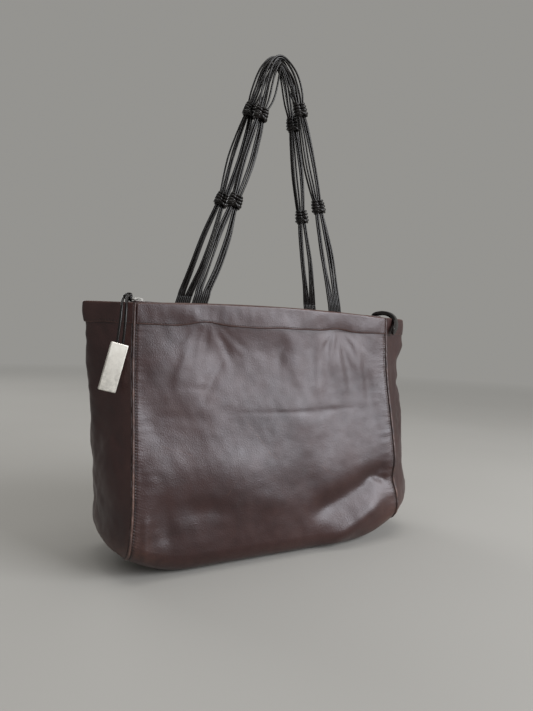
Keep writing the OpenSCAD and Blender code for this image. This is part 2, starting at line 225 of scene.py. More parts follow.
# Soft bumps of the whole shell: centre, reach, and shift
BUMPS = [
    ((-206, 0, 258), (34, 40, 60), (4.5, 0, 0)),
    ((206, 0, 262), (34, 40, 45), (3.5, 0, 0)),
    ((204, 0, 188), (32, 44, 26), (-7, 0, 0)),
    ((204, 0, 55), (34, 60, 36), (2.5, 0, 0)),
    ((-202, 0, 142), (34, 60, 62), (8.5, 0, 0)),
    ((-190, 0, 62), (30, 60, 40), (5.0, 0, 0)),
    ((0, -52, 100), (120, 40, 60), (0, -3.2, 0)),
    ((0, 52, 100), (120, 40, 60), (0, 2.6, 0)),
    ((156, -55, 74), (20, 40, 15), (-3.5, 3.2, 0)),
    ((-163, -58, 30), (22, 40, 26), (-1.5, -1, 0)),
]


def warp(points):
    """Bends every piece of the shell together, so that the seams stay closed."""
    out = points.copy()
    for centre, reach, shift in BUMPS:
        g = np.exp(-(((points - centre) / reach) ** 2).sum(-1))
        out += g[..., None] * np.array(shift)
    return out


ANCHORS = {False: (-82, 85), True: (-86, 80)}
# Folds that fan out below each anchor: lean, height, and how far down they reach
FANS = ((-26, 0.30, 224), (-10, 0.42, 214), (7, 0.22, 228), (21, 0.38, 208), (38, 0.2, 220))
FAN_TOP = BODY_H - BAND_H + 2
# Other folds of the rear and front panel: both ends (x, z), width, height, and for some the taper
FOLDS = {
    True: [
        ((-96, 172), (12, 168), 5, -1.0), ((-90, 178), (10, 174), 6, 0.7),
        ((-118, 72), (-50, 52), 11, -2.6), ((-128, 58), (-60, 24), 11, 2.4),
        ((96, 236), (104, 160), 6, 0.9), ((106, 238), (114, 160), 6, -0.9),
    ],
    False: [
        # one level crease, and the folds round it
        ((-24, 158.5), (40, 157.0), 2.8, -0.3, 1.6), ((30, 157.5), (92, 160), 3.4, -0.3, 1.6),
        ((-34, 165), (98, 166), 8, 0.35), ((-20, 148), (90, 149), 10, 0.25),
        ((92, 247), (104, 190), 7.5, -0.7), ((82, 246), (94, 178), 7, 0.65),
        ((112, 240), (122, 176), 7, 0.7), ((126, 222), (135, 150), 8, -0.7),
        ((60, 236), (58, 174), 6, 0.6), ((72, 232), (73, 180), 6, -0.45),
        ((10, 238), (4, 205), 7, -0.9), ((24, 240), (30, 190), 7, 0.6),
        ((-58, 226), (-90, 168), 6, -0.7), ((-98, 236), (-116, 190), 6, 0.9),
        ((-112, 186), (-66, 182), 5, -0.25), ((-126, 158), (-78, 152), 6, -0.3),
        # the deep hollow at the lower right, with the bright fold below it
        ((126, 74), (46, 46), 13, -5.6), ((150, 88), (118, 78), 7, -2.2),
        ((136, 46), (66, 12), 13, 6.0), ((152, 74), (132, 78), 5, -1.8),
        # the lower left corner, pressed in beside the seam
        ((-132, 78), (-126, 36), 11, -2.2), ((-149, 60), (-149, 22), 5, 1.4),
        ((-116, 66), (-60, 62), 10, -1.4), ((-30, 70), (20, 60), 12, 0.8),
    ],
}


def swell(u, v, rear):
    """How far a long panel stands out of its plain shape, in mm."""
    p = side_point(u, v, 0, rear=rear)
    x, z = p[..., 0], p[..., 2]
    seed = 40 if rear else 10
    edge = (1 - np.abs(u)) * half_width(z)
    free = 1 - hill(edge, 14)
    up = clipped((z - 20) / 40)
    d = 0.75 * waves(p, 95, seed) * free * up + 0.15 * waves(p, 38, seed + 1) * free
    d = d + 0.035 * waves(p, 14, seed + 2)
    stretched = p * np.array([0.35, 1, 1.0])
    d = d + 0.05 * waves(stretched, 9, seed + 3) * hill(edge, 26)
    # puckers that the stitches pull into the edge
    pull = np.cos(2 * np.pi * v / STITCH) * 0.20 * np.exp(-edge / 2.8)
    long_pull = waves(p * np.array([0.2, 0.2, 1]), 5.2, seed + 4) * 0.07 * np.exp(-edge / 8)
    d = d + pull + long_pull
    d = d - 0.5 * hill(edge - 1.3, 0.9)
    # folds that fan out below the places where the handles pull on the band
    for anchor in ANCHORS[rear]:
        for lean, size, reach in FANS:
            top, foot = anchor + lean * 0.25, anchor + lean * 1.15
            d = d + ridge(x, z, (top, FAN_TOP), (foot, reach), 4.2, size)
            d = d - ridge(x, z, (top + 5, FAN_TOP), (foot + 8, reach + 4), 3.6, size * 0.7)
    for fold in FOLDS[rear]:
        d = d + ridge(x, z, *fold)
    if rear:
        return d
    return d - 0.3 * np.exp(-((x - 34) ** 2 + (z - 105) ** 2) / 50)


def under_band(v):
    """How much of the panel's swell is left under the band, from none at the mouth to all below it."""
    return clipped(v / V_BAND) ** 1.3


def band_rise(u, rear):
    """How far the band's lower edge is pulled up, above all where the handles hang."""
    x = u * half_width(BODY_H - BAND_H)
    rise = 0.35 * np.sin(x / 17.0) + 0.2 * np.sin(x / 7.3 + 1)
    for anchor in ANCHORS[rear]:
        rise = rise + 3.2 * hill(x - anchor, 20)
    return rise


def band_swell(p, seed):
    return 0.26 * waves(p, 34, seed) + 0.07 * waves(p * np.array([1, 1, 0.5]), 13, seed + 1)


# ---------------------------------------------------------------- meshes
def make_mesh(name, points, faces, material, body, replaces=(), marks=None):
    data = bpy.data.meshes.new(name)
    points = np.asarray(points, float).reshape(-1, 3) * MM
    data.from_pydata(points.tolist(), [], [tuple(int(i) for i in f) for f in faces])
    for key, values in (marks or {}).items():
        attribute = data.attributes.new(key, "FLOAT", "POINT")
        attribute.data.foreach_set("value", np.asarray(values, np.float32).ravel())
    data.polygons.foreach_set("use_smooth", [True] * len(data.polygons))
    data.materials.append(material)
    data.update()
    piece = bpy.data.objects.new(name, data)
    bpy.context.scene.collection.objects.link(piece)
    finish_piece(piece, body, replaces)
    return piece


def finish_piece(piece, body, replaces=()):
    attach(piece, body)
    if replaces:
        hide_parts(*replaces)


def grid_faces(n, m, start=0, flip=False, closed=False):
    """Quads of an n by m grid of points."""
    i, j = np.meshgrid(np.arange(n - 1), np.arange(m if closed else m - 1), indexing="ij")
    k = (j + 1) % m
    quads = np.stack([i * m + j, i * m + k, (i + 1) * m + k, (i + 1) * m + j], -1).reshape(-1, 4) + start
    return quads[:, ::-1] if flip else quads


def skin(outer, inner, flip=False):
    """Points and faces of a closed sheet between two grids of points."""
    n, m = outer.shape[:2]
    k = n * m
    faces = [grid_faces(n, m, 0, flip), grid_faces(n, m, k, not flip)]
    rim = np.concatenate([
        np.arange(m), np.arange(1, n) * m + m - 1, (n - 1) * m + np.arange(m - 2, -1, -1),
        np.arange(n - 2, 0, -1) * m])
    after = np.roll(rim, -1)
    side = np.stack([rim, rim + k, after + k, after], -1)
    faces.append(side[:, ::-1] if flip else side)
    return np.concatenate([outer.reshape(-1, 3), inner.reshape(-1, 3)]), np.concatenate(faces)


def swept(rings, flip=False):
    """Points and faces of a closed solid through an n by m array of rings."""
    n, m = rings.shape[:2]
    faces = [tuple(f) for f in grid_faces(n, m, 0, flip, closed=True)]
    first, last = list(range(m)), [(n - 1) * m + j for j in range(m)]
    faces.append(tuple(first if flip else first[::-1]))
    faces.append(tuple(last[::-1] if flip else last))
    return rings.reshape(-1, 3), faces


def unit(a):
    return a / np.maximum(1e-9, np.linalg.norm(a, axis=-1, keepdims=True))


def rounded_rect(y0, y1, z0, z1, r, steps=4):
    """Corners of a rectangle with rounded edges, as (y, z)."""
    out = []
    for cy, cz, start in ((y1 - r, z1 - r, 0), (y0 + r, z1 - r, 90), (y0 + r, z0 + r, 180), (y1 - r, z0 + r, 270)):
        for b in np.radians(np.linspace(start, start + 90, steps)):
            out.append((cy + r * math.cos(b), cz + r * math.sin(b)))
    return out


def spacing(low, high, fine, coarse, reach):
    """Places from low to high, close together near both ends."""
    places, x = [low], low
    while x < high - 1e-6:
        near = min(x - low, high - x)
        x += fine + (coarse - fine) * min(1, max(0, near / reach))
        places.append(min(x, high))
    return np.array(places)


def tube(path, radius, sides=12, closed=False):
    """Points and faces of a round tube along a path, with rounded ends."""
    path = np.asarray(path, float)
    if closed:
        tangent = unit(np.roll(path, -1, 0) - np.roll(path, 1, 0))
    else:
        tangent = unit(np.gradient(path, axis=0))
    normal = [unit(np.cross(tangent[0], [0.31, 0.87, 0.39]))]
    for t in tangent[1:]:
        normal.append(unit(normal[-1] - t * (normal[-1] @ t)))
    normal = np.array(normal)
    other = np.cross(tangent, normal)
    if closed:
        # the frame is turned evenly, so that it closes on itself
        last = normal[-1] - tangent[0] * (normal[-1] @ tangent[0])
        miss = math.atan2(np.cross(normal[0], last) @ tangent[0], normal[0] @ last)
        twist = -miss * np.arange(len(path)) / len(path)
        normal, other = (
            normal * np.cos(twist)[:, None] + other * np.sin(twist)[:, None],
            other * np.cos(twist)[:, None] - normal * np.sin(twist)[:, None])
    a = np.linspace(0, 2 * np.pi, sides, endpoint=False)
    radius = np.broadcast_to(np.asarray(radius, float), (len(path),))
    ring = normal[:, None] * np.cos(a)[None, :, None] + other[:, None] * np.sin(a)[None, :, None]
    rings = path[:, None] + ring * radius[:, None, None]
    if closed:
        n, m = rings.shape[:2]
        i, j = np.meshgrid(np.arange(n), np.arange(m), indexing="ij")
        faces = np.stack([i * m + j, i * m + (j + 1) % m, ((i + 1) % n) * m + (j + 1) % m,
                          ((i + 1) % n) * m + j], -1).reshape(-1, 4)
        return rings.reshape(-1, 3), [tuple(f) for f in faces]
    start, stop = (
        np.array([path[end] + tangent[end] * way * radius[end] * math.sin(b)
                  + ring[end] * radius[end] * math.cos(b) for b in np.radians([35, 65, 84])])
        for end, way in ((0, -1), (-1, 1)))
    return swept(np.concatenate([start[::-1], rings, stop]))


def joined(parts):
    """Several (points, faces) as one."""
    points, faces, start = [], [], 0
    for p, f in parts:
        points.append(p)
        faces += [tuple(int(i) + start for i in q) for q in f]
        start += len(p)
    return np.concatenate(points), faces


def stitches(places, along, out, length=2.3, thick=0.62, sink=0.02):
    """Small capsules, one at each place, that lie along the seam."""
    rings, sides = 5, 6
    b = np.linspace(-1, 1, rings + 2)
    a = np.linspace(0, 2 * np.pi, sides, endpoint=False)
    parts = []
    for p, t, n in zip(places, along, out):
        s = np.cross(t, n)
        reach = np.sqrt(np.maximum(0.02, 1 - b ** 4))
        body = (p + n * (0.12 - sink))[None, None] + (t * length / 2)[None, None] * b[:, None, None]
        body = body + thick / 2 * reach[:, None, None] * (
            s[None, None] * np.cos(a)[None, :, None] + n[None, None] * np.sin(a)[None, :, None])
        parts.append(swept(body))
    return joined(parts)


# ---------------------------------------------------------------- materials
def new_material(name):
    material = bpy.data.materials.new(name)
    material.use_nodes = True
    tree = material.node_tree
    coords = tree.nodes.new("ShaderNodeTexCoord")
    return material, tree, tree.nodes["Principled BSDF"], coords.outputs["Object"]


def noise(tree, coords, scale, detail=3, rough=0.5, stretch=None, turn=None):
    node = tree.nodes.new("ShaderNodeTexNoise")
    node.inputs["Scale"].default_value = scale
    node.inputs["Detail"].default_value = detail
    node.inputs["Roughness"].default_value = rough
    if stretch:
        mapping = tree.nodes.new("ShaderNodeMapping")
        mapping.inputs["Scale"].default_value = stretch
        if turn:
            mapping.inputs["Rotation"].default_value = turn
        tree.links.new(coords, mapping.inputs["Vector"])
        coords = mapping.outputs["Vector"]
    tree.links.new(coords, node.inputs["Vector"])
    return node.outputs["Fac"]


def ramp(tree, value, stops):
    node = tree.nodes.new("ShaderNodeValToRGB")
    elements = node.color_ramp.elements
    while len(elements) < len(stops):
        elements.new(0.5)
    for element, (at, colour) in zip(elements, stops):
        element.position = at
        element.color = (*colour, 1)
    tree.links.new(value, node.inputs["Fac"])
    return node.outputs["Color"]


def grey(*stops):
    return [(at, (v, v, v)) for at, v in stops]


def mix(tree, share, a, b):
    node = tree.nodes.new("ShaderNodeMix")
    node.data_type = "RGBA"
    for socket, value in ((node.inputs["Factor"], share), (node.inputs["A"], a), (node.inputs["B"], b)):
        if isinstance(value, (int, float)):
            socket.default_value = value
        elif isinstance(value, tuple):
            socket.default_value = (*value, 1)
        else:
            tree.links.new(value, socket)
    return node.outputs["Result"]


def math_node(tree, kind, a, b=0.0):
    node = tree.nodes.new("ShaderNodeMath")
    node.operation = kind
    for socket, value in zip(node.inputs, (a, b)):
        if isinstance(value, (int, float)):
            socket.default_value = value
        else:
            tree.links.new(value, socket)
    return node.outputs[0]


def times(tree, a, b):
    return math_node(tree, "MULTIPLY", a, b)


def set_roughness(tree, shader, value, middle, less, more):
    colour = ramp(tree, value, grey((0.3, middle - less), (0.7, middle + more)))
    tree.links.new(colour, shader.inputs["Roughness"])


def bump(tree, shader, layers):
    """Layers of (height, strength, distance in metres) over each other."""
    normal = None
    for height, strength, distance in layers:
        node = tree.nodes.new("ShaderNodeBump")
        node.inputs["Strength"].default_value = strength
        node.inputs["Distance"].default_value = distance
        tree.links.new(height, node.inputs["Height"])
        if normal:
            tree.links.new(normal, node.inputs["Normal"])
        normal = node.outputs["Normal"]
    tree.links.new(normal, shader.inputs["Normal"])


def voronoi(tree, coords, scale):
    node = tree.nodes.new("ShaderNodeTexVoronoi")
    node.inputs["Scale"].default_value = scale
    tree.links.new(coords, node.inputs["Vector"])
    return node.outputs["Distance"]


def attribute(tree, key):
    node = tree.nodes.new("ShaderNodeAttribute")
    node.attribute_name = key
    return node.outputs["Fac"]


def scratch(tree, coords, at, lean, length, width):
    """A mask for one thin line on the long panels: a place (x, z) and a lean, in metres."""
    mapping = tree.nodes.new("ShaderNodeMapping")
    mapping.vector_type = "TEXTURE"
    mapping.inputs["Location"].default_value = (at[0], 0, at[1])
    mapping.inputs["Rotation"].default_value = (0, -lean, 0)
    tree.links.new(coords, mapping.inputs["Vector"])
    split = tree.nodes.new("ShaderNodeSeparateXYZ")
    tree.links.new(mapping.outputs["Vector"], split.inputs[0])
    wander = math_node(tree, "SUBTRACT", noise(tree, coords, 60, 2), 0.5)
    across = math_node(tree, "ADD", split.outputs["Z"], times(tree, wander, 0.006))
    near = math_node(tree, "LESS_THAN", math_node(tree, "ABSOLUTE", across), width)
    inside = math_node(tree, "LESS_THAN", math_node(tree, "ABSOLUTE", split.outputs["X"]), length / 2)
    return times(tree, near, inside)


def leather_material(name, deep, mid, light, rubbed, roughness=0.44, scratches=(), grain=1.0):
    material, tree, shader, coords = new_material(name)
    broad = noise(tree, coords, 9, 4, 0.55)
    fine = noise(tree, coords, 70, 5, 0.6)
    tone = math_node(tree, "ADD", times(tree, broad, 0.65),
                     times(tree, fine, 0.35))
    colour = ramp(tree, tone, [(0.3, deep), (0.5, mid), (0.72, light)])
    wear = attribute(tree, "wear")
    patchy = ramp(tree, noise(tree, coords, 160, 4, 0.65), grey((0.35, 0), (0.62, 1)))
    worn = times(tree, wear, math_node(tree, "ADD", 0.35, times(tree, patchy, 0.65)))
    colour = mix(tree, worn, colour, rubbed)
    # painted shade: the colour is darkened toward a third of the deepest tone where grooves, puckers, hollows and
    # the band's lower edge are marked
    painted_crease_shade = attribute(tree, "crease_shade")
    colour = mix(tree, times(tree, painted_crease_shade, 0.8), colour,
                 tuple(c * 0.35 for c in deep))
    for at, lean, length, width in scratches:
        mask = scratch(tree, coords, at, lean, length, width)
        faint = times(tree, mask, times(tree, patchy, 0.28))
        colour = mix(tree, faint, colour, rubbed)
    tree.links.new(colour, shader.inputs["Base Color"])
    set_roughness(tree, shader, noise(tree, coords, 38, 4, 0.6), roughness, 0.06, 0.09)
    shader.inputs["Specular IOR Level"].default_value = 0.5
    shader.inputs["Specular Tint"].default_value = (0.93, 0.92, 0.98, 1)
    shader.inputs["Coat Weight"].default_value = 0.1
    shader.inputs["Coat Roughness"].default_value = 0.3
    cells = voronoi(tree, coords, 760)
    pores = voronoi(tree, coords, 1900)
    wrinkles = noise(tree, coords, 120, 4, 0.6, (1.0, 1.0, 2.6), (0.0, 0.6, 0.0))
    folds = noise(tree, coords, 34, 3, 0.5)
    bump(tree, shader, [
        (folds, 0.07, 0.0012), (wrinkles, 0.12 * grain, 0.0005),
        (cells, 0.30 * grain, 0.00032), (pores, 0.15 * grain, 0.00012)])
    return material


SCRATCHES = [
    ((-0.0235, 0.132), -0.90, 0.046, 0.00035),
    ((-0.1165, 0.124), -0.32, 0.034, 0.0003),
    ((-0.014, 0.118), -0.72, 0.030, 0.00025),
    ((0.062, 0.092), -0.62, 0.022, 0.0003),
    ((-0.058, 0.083), 0.9, 0.018, 0.00025),
]
leather = leather_material(
    "dark brown leather", (0.018, 0.0058, 0.0046), (0.032, 0.0112, 0.0092), (0.050, 0.021, 0.0175),
    (0.16, 0.075, 0.05), scratches=SCRATCHES, roughness=0.37)
gusset_leather = leather_material(
    "gusset leather", (0.019, 0.0060, 0.0048), (0.032, 0.0112, 0.0092), (0.048, 0.0200, 0.0165),
    (0.13, 0.062, 0.044), roughness=0.43)
edge_leather = leather_material(
    "rubbed leather edge", (0.020, 0.0095, 0.008), (0.034, 0.0165, 0.0135), (0.055, 0.029, 0.024),
    (0.16, 0.088, 0.066), roughness=0.46, grain=0.7)


def cord_material(name, dark, light, roughness):
    material, tree, shader, coords = new_material(name)
    tone = noise(tree, coords, 140, 4, 0.6)
    tree.links.new(ramp(tree, tone, [(0.32, dark), (0.68, light)]), shader.inputs["Base Color"])
    set_roughness(tree, shader, noise(tree, coords, 25, 2, 0.5), roughness, 0.07, 0.1)
    shader.inputs["Specular IOR Level"].default_value = 0.4
    bump(tree, shader, [(noise(tree, coords, 60, 2), 0.1, 0.0004)])
    return material


cord_leather = cord_material("near-black cord leather", (0.0035, 0.0026, 0.0025), (0.009, 0.006, 0.0055), 0.27)
knot_leather = cord_material("knotted cord leather", (0.0035, 0.0026, 0.0025), (0.008, 0.0055, 0.005), 0.24)


def cloth_material(name, dark, light, pitch, roughness):
    """A plain weave: two sets of threads as wave bands, with the given pitch in metres."""
    material, tree, shader, coords = new_material(name)
    bands = []
    for way in ("X", "Z"):
        wave = tree.nodes.new("ShaderNodeTexWave")
        wave.bands_direction = way
        wave.inputs["Scale"].default_value = 1 / (pitch * 20) * math.pi
        wave.inputs["Distortion"].default_value = 0.6
        tree.links.new(coords, wave.inputs["Vector"])
        bands.append(wave.outputs["Fac"])
    weave = math_node(tree, "MAXIMUM", *bands)
    tree.links.new(ramp(tree, weave, [(0.2, dark), (0.9, light)]), shader.inputs["Base Color"])
    set_roughness(tree, shader, noise(tree, coords, 60), roughness, 0.05, 0.05)
    shader.inputs["Sheen Weight"].default_value = 0.15
    bump(tree, shader, [(weave, 0.5, 0.0003)])
    return material


lining_cloth = cloth_material("dark woven lining", (0.012, 0.011, 0.011), (0.03, 0.027, 0.026), 0.0007, 0.8)
tape_cloth = cloth_material("zip tape weave", (0.008, 0.007, 0.007), (0.022, 0.02, 0.02), 0.0006, 0.75)


def metal_material(name, dull, bright, roughness, brushed=False, grime=(0.05, 0.045, 0.04)):
    material, tree, shader, coords = new_material(name)
    spots = noise(tree, coords, 90, 4, 0.55)
    colour = ramp(tree, spots, [(0.3, dull), (0.6, bright)])
    wear = attribute(tree, "wear")
    dirt = times(tree, wear, ramp(
        tree, noise(tree, coords, 260, 4, 0.6), grey((0.4, 0), (0.66, 1))))
    colour = mix(tree, dirt, colour, grime)
    tree.links.new(colour, shader.inputs["Base Color"])
    shader.inputs["Metallic"].default_value = 1.0
    rough = noise(tree, coords, 300, 5, 0.7, (1, 1, 0.06) if brushed else None)
    vary = 0.04 if brushed else 0.1
    set_roughness(tree, shader, rough, roughness, vary, vary)
    bump(tree, shader, [(rough, 0.12, 0.00006)])
    return material


nickel = metal_material("dull nickel", (0.26, 0.25, 0.235), (0.38, 0.37, 0.35), 0.36)
brushed = metal_material("brushed tag metal", (0.62, 0.59, 0.54), (0.70, 0.675, 0.62), 0.40, brushed=True,
                         grime=(0.3, 0.29, 0.27))


def thread_material(name, dark, light):
    material, tree, shader, coords = new_material(name)
    tone = noise(tree, coords, 500, 2)
    tree.links.new(ramp(tree, tone, [(0.35, dark), (0.65, light)]), shader.inputs["Base Color"])
    shader.inputs["Roughness"].default_value = 0.6
    bump(tree, shader, [(noise(tree, coords, 2600, 2), 0.4, 0.0001)])
    return material


dark_thread = thread_material("dark thread", (0.010, 0.007, 0.0065), (0.022, 0.015, 0.013))
rose_thread = thread_material("brown thread", (0.075, 0.036, 0.03), (0.14, 0.075, 0.062))


# ---------------------------------------------------------------- cords come first
# Each row: x, y, z, half the distance between the sub-bundles
FRONT_ROUTE = [
    (-86, -EXIT_Y, FOLD_Z, 4.4), (-84, -23, 290, 4.6), (-74, -21, 314, 5.6), (-62, -18.5, 348, 5.6),
    (-53, -16, 374, 3.2), (-49, -15.5, 386, 2.6), (-45, -14.5, 398, 3.2), (-34, -12, 432, 5.2),
    (-24, -10, 466, 4.2), (-18, -8.8, 488, 2.6), (-12, -7.6, 508, 4), (-4, -5.6, 540, 4), (6, -5, 555, 3.4),
    (19, -5.6, 544, 4), (28, -7.2, 522, 4), (33, -8.4, 503, 2.6), (39, -10, 480, 4), (47, -12.4, 444, 5.2),
    (55, -14.6, 412, 3.8), (59, -15.6, 395, 2.6), (63, -16.6, 376, 4), (71, -19, 340, 5.6),
    (78, -21.4, 306, 5.2), (82, -EXIT_Y, FOLD_Z, 4.4)]
REAR_ROUTE = [
    (-88, EXIT_Y, FOLD_Z, 4.4), (-86, 23, 290, 4.6), (-76, 21, 316, 5.6), (-65, 18.5, 350, 5.6),
    (-55, 16, 381, 3.2), (-51, 15.4, 393, 2.6), (-47, 14.4, 405, 3.2), (-38, 12, 440, 5.2),
    (-29, 9.8, 474, 4.2), (-23, 8.6, 496, 2.6), (-16, 7.4, 516, 4), (-6, 5.6, 544, 4), (6, 5, 557, 3.4),
    (20, 5.6, 543, 4), (29, 7.4, 514, 4), (34, 8.6, 492, 2.6), (39, 10.2, 470, 4), (46, 12.6, 436, 5.2),
    (53, 15, 402, 3.6), (56, 15.8, 388, 2.6), (60, 17, 368, 4), (68, 19.4, 334, 5.6),
    (74, 21.6, 304, 5.2), (78, EXIT_Y, FOLD_Z, 4.4)]
KNOT_AT = (5, 9, 15, 19)
PER_SPAN = 10


def smooth_path(rows, per_span=PER_SPAN):
    """A smooth curve through rows of numbers, with per_span steps between rows."""
    rows = np.asarray(rows, float)
    slope = np.gradient(rows, axis=0)
    out = []
    for i in range(len(rows) - 1):
        t = np.linspace(0, 1, per_span, endpoint=False)[:, None]
        a, b, c, d = rows[i], rows[i + 1], slope[i], slope[i + 1]
        out.append((2 * t ** 3 - 3 * t ** 2 + 1) * a + (t ** 3 - 2 * t ** 2 + t) * c
                   + (-2 * t ** 3 + 3 * t ** 2) * b + (t ** 3 - t ** 2) * d)
    return np.concatenate(out + [rows[-1:]])


def length_of(path):
    return float(np.linalg.norm(np.diff(path, axis=0), axis=1).sum())


def cord_curve(name, path, diameter, material):
    data = bpy.data.curves.new(name, "CURVE")
    data.dimensions = "3D"
    data.bevel_depth = diameter / 2 * MM
    data.bevel_resolution = 3
    data.use_fill_caps = True
    spline = data.splines.new("POLY")
    spline.points.add(len(path) - 1)
    flat = np.concatenate([np.asarray(path) * MM, np.ones((len(path), 1))], 1)
    spline.points.foreach_set("co", flat.ravel())
    spline.use_smooth = True
    data.materials.append(material)
    piece = bpy.data.objects.new(name, data)
    bpy.context.scene.collection.objects.link(piece)
    return piece


SPANS = [0, 5, 9, 12, 15, 19, 23]
SPLAY = np.array([0.8, 0.8, 2.1, 1.9, 0.8, 0.8, 0.8])


def handle_paths(route, seed):
    """The eight cords of one handle."""
    rng = np.random.default_rng(seed)
    rows = smooth_path(route)
    line, gap = rows[:, :3], rows[:, 3]
    at = np.linspace(0, len(route) - 1, len(rows))
    tangent = unit(np.gradient(line, axis=0))
    sideways = unit(np.cross([0, 1, 0], tangent))
    near_end = np.minimum(at, len(route) - 1 - at)
    blend = clipped(near_end / 2.2)
    blend = blend * blend * (3 - 2 * blend)
    upright = clipped(1 - near_end / 1.0)[:, None]
    sideways = unit(sideways * (1 - upright) + upright * np.sign(sideways[:, :1]) * np.array([1.0, 0, 0]))
    normal = unit(np.cross(tangent, sideways))
    span = np.searchsorted(SPANS, at, side="right") - 1
    span = np.clip(span, 0, len(SPANS) - 2)
    low, high = np.array(SPANS)[span], np.array(SPANS)[span + 1]
    hump = np.sin(np.pi * (at - low) / (high - low)) ** 2
    # the diamond in which the four cords of a sub-bundle lie
    diamond = [(-1.95, 0.0), (-0.1, 1.14), (0.1, -1.14), (1.95, 0.0)]
    paths = []
    for side in (-1, 1):
        turn = 0.55 * np.sin(at * rng.uniform(0.5, 0.8) + rng.uniform(0, 6)) + rng.uniform(-0.2, 0.2)
        for k, (a, b) in enumerate(diamond):
            flat = (side * 2 + k - 1.5) * CORD_PITCH
            ca, sa = np.cos(turn), np.sin(turn)
            grow = 1 + hump * (rng.uniform(0.0, 1.0, len(SPANS)) * SPLAY)[span]
            qa, qb = (a * ca - b * sa) * grow, (a * sa + b * ca) * grow
            off_w = (1 - blend) * flat + blend * (side * gap + qa)
            off_n = blend * qb
            wander = 0.12 * np.sin(at * rng.uniform(2.0, 3.2) + rng.uniform(0, 6)) * blend
            paths.append(line + sideways * (off_w + wander)[:, None] + normal * off_n[:, None])
    return paths


def knot_parts(route, seed):
    """Each knot: two columns of wraps side by side, crossed strands over the split, and lobes below."""
    rng = np.random.default_rng(seed)
    rows = np.asarray(route, float)[:, :3]
    t = np.linspace(0, 2 * np.pi, 36, endpoint=False)
    parts = []
    for index in KNOT_AT:
        centre = rows[index]
        axis = unit(rows[index + 1] - rows[index - 1]) * (1 if index < 12 else -1)
        side = unit(np.cross([0, 1, 0], axis))
        out = np.cross(side, axis)
        for column in (-1, 1):
            for level, fat, wide in ((6.9, 1.3, 2.7), (3.6, 1.5, 3.3), (0.1, 1.6, 3.5), (-4.0, 2.0, 3.3)):
                middle = centre + side * column * 3.7 + axis * (level + rng.uniform(-0.3, 0.3))
                tilt = rng.uniform(-0.16, 0.16) + column * 0.12
                loop = (middle + side * (wide * np.cos(t))[:, None] + out * ((wide + 0.35) * np.sin(t))[:, None]
                        + axis * (wide * np.cos(t) * tilt)[:, None])
                parts.append(tube(loop, fat, 10, closed=True))
        for face in (-1, 1):
            for lean in (-1, 1):
                run = np.linspace(-1, 1, 22)
                path = (centre + side * (lean * 5.6 * run)[:, None] + axis * (-4.2 - 2.4 * run * face)[:, None]
                        + out * (face * (5.0 + 1.0 * lean * face - 3.2 * run ** 2))[:, None])
                parts.append(tube(path, 1.45, 9))
    return joined(parts)


for prefix, route, seed in (("front", FRONT_ROUTE, 3), ("rear", REAR_ROUTE, 8)):
    body = prefix + "_handle"
    for number, path in enumerate(handle_paths(route, seed)):
        strand = cord_curve(f"{prefix}_handle_cord_{number + 1}", path, CORD_D, cord_leather)
        finish_piece(strand, body, (f"{prefix}_handle_cords",))
    points, faces = knot_parts(route, seed)
    make_mesh(f"{prefix}_handle_knots_braided", points, faces, knot_leather, body,
              (f"{prefix}_handle_knots",))

THONG_ROUTE = [
    (-157.4, -1.6, 276.8), (-160, -6, 277), (-162.6, -12, 276.6), (-165.2, -19, 275.8),
    (-167.4, -25, 274.4), (-169.4, -31, 271), (-170.8, -35.4, 264), (-171.8, -37.6, 254),
    (-172.9, -38.4, 243), (-174.2, -38.6, 230.2)]
THONG_D = 2.6


def thong_paths():
    line = smooth_path(THONG_ROUTE, 8)
    clear = np.sin(np.pi * np.linspace(0, 1, len(line)))[:, None]
    line = line + clear * np.array([0, -0.7, 0.4])
    tangent = unit(np.gradient(line, axis=0))
    across = unit(np.cross(tangent, np.array([0.35, 0.9, 0.25])))
    across = unit(across - tangent * (across * tangent).sum(1)[:, None])
    t = np.linspace(0, 1, len(line))
    spread = 1.32 + 1.5 * clipped((t - 0.3) / 0.7)
    end = unit(np.array([math.cos(math.radians(14)), 0, -math.sin(math.radians(14))]))
    across = unit(across * (1 - t[:, None]) + end * t[:, None])
    for side in (-1, 1):
        path = line + across * (side * spread)[:, None]
        # into the slot in the tag's top edge
        yield np.concatenate([path, path[-1:] + (path[-1:] - path[-2:-1]) * np.array([[0.6]])])


# ---------------------------------------------------------------- tag
tag_low, tag_high = box_mm("metal_tag")
TAG_W, TAG_L, TAG_T, TAG_TILT = 17.0, 47.0, 3.0, math.radians(14)
tag_centre = (tag_low + tag_high) / 2


def tag_parts():
    """A slab with softened edges, as rings from its back to its front."""
    bevel = 0.55
    corner = 1.3

    def outline_ring(inset, depth):
        hw, hl = TAG_W / 2 - inset, TAG_L / 2 - inset
        r = max(0.3, corner - inset * 0.5)
        return [(x, depth, z) for x, z in rounded_rect(-hw, hw, -hl, hl, r, 7)]

    rings = []
    for b in np.radians(np.linspace(0, 90, 5)):
        rings.append(outline_ring(bevel * (1 - math.sin(b)), -TAG_T / 2 + bevel * (1 - math.cos(b))))
    for b in np.radians(np.linspace(90, 0, 5)):
        rings.append(outline_ring(bevel * (1 - math.sin(b)), TAG_T / 2 - bevel * (1 - math.cos(b))))
    face_insets = (1.2, 3.0, 5.5, 8.0)
    first = [outline_ring(i, -TAG_T / 2) for i in face_insets[::-1]]
    last = [outline_ring(i, TAG_T / 2) for i in face_insets]
    rings = np.array(first + rings + last)
    points, faces = swept(rings)
    worn = clipped(1 - (points[:, 2] + TAG_L / 2) / 14) * 0.8
    c, s = math.cos(TAG_TILT), math.sin(TAG_TILT)
    turn = np.array([[c, 0, s], [0, 1, 0], [-s, 0, c]])
    return points @ turn.T + tag_centre, faces, worn


points, faces, worn = tag_parts()
tag = make_mesh("metal_tag_brushed", points, faces, brushed, "tag", ("metal_tag",), {"wear": worn})

